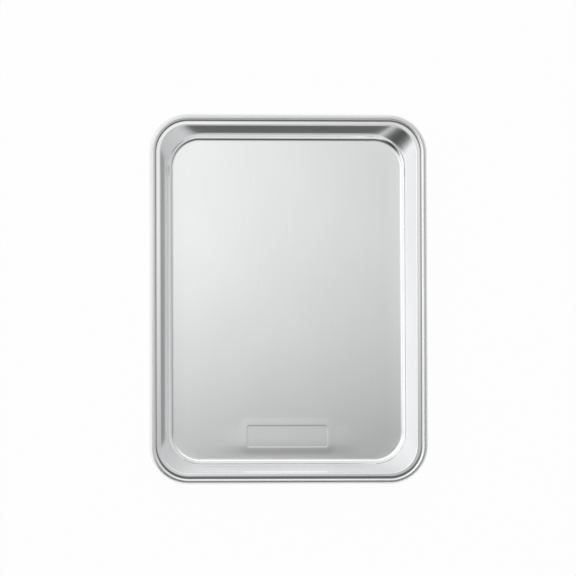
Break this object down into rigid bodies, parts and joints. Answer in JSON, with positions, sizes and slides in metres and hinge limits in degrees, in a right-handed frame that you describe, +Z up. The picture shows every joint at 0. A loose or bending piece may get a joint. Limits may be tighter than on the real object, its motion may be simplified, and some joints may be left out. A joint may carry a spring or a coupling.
{
  "type": "jelly roll pan",
  "caption": "Shallow rectangular baking pan of drawn aluminium sheet, with sloping walls, rounded corners, a ledge, an edge rolled round a steel wire, and a bare raised panel in the floor.",
  "frame": {"origin": "under the middle of the floor, on the surface that the pan stands on", "axes": "+X across the pan, +Y along it away from the raised panel, +Z up out of the open side"},
  "size_m": [0.244, 0.324, 0.0254],
  "materials": {
    "aluminium_sheet": "satin",
    "galvanised_wire": "galvanised"
  },
  "bodies": {
    "root": {"pan_sheet": "aluminium_sheet", "rim_wire": "galvanised_wire"}
  },
  "joints": []
}
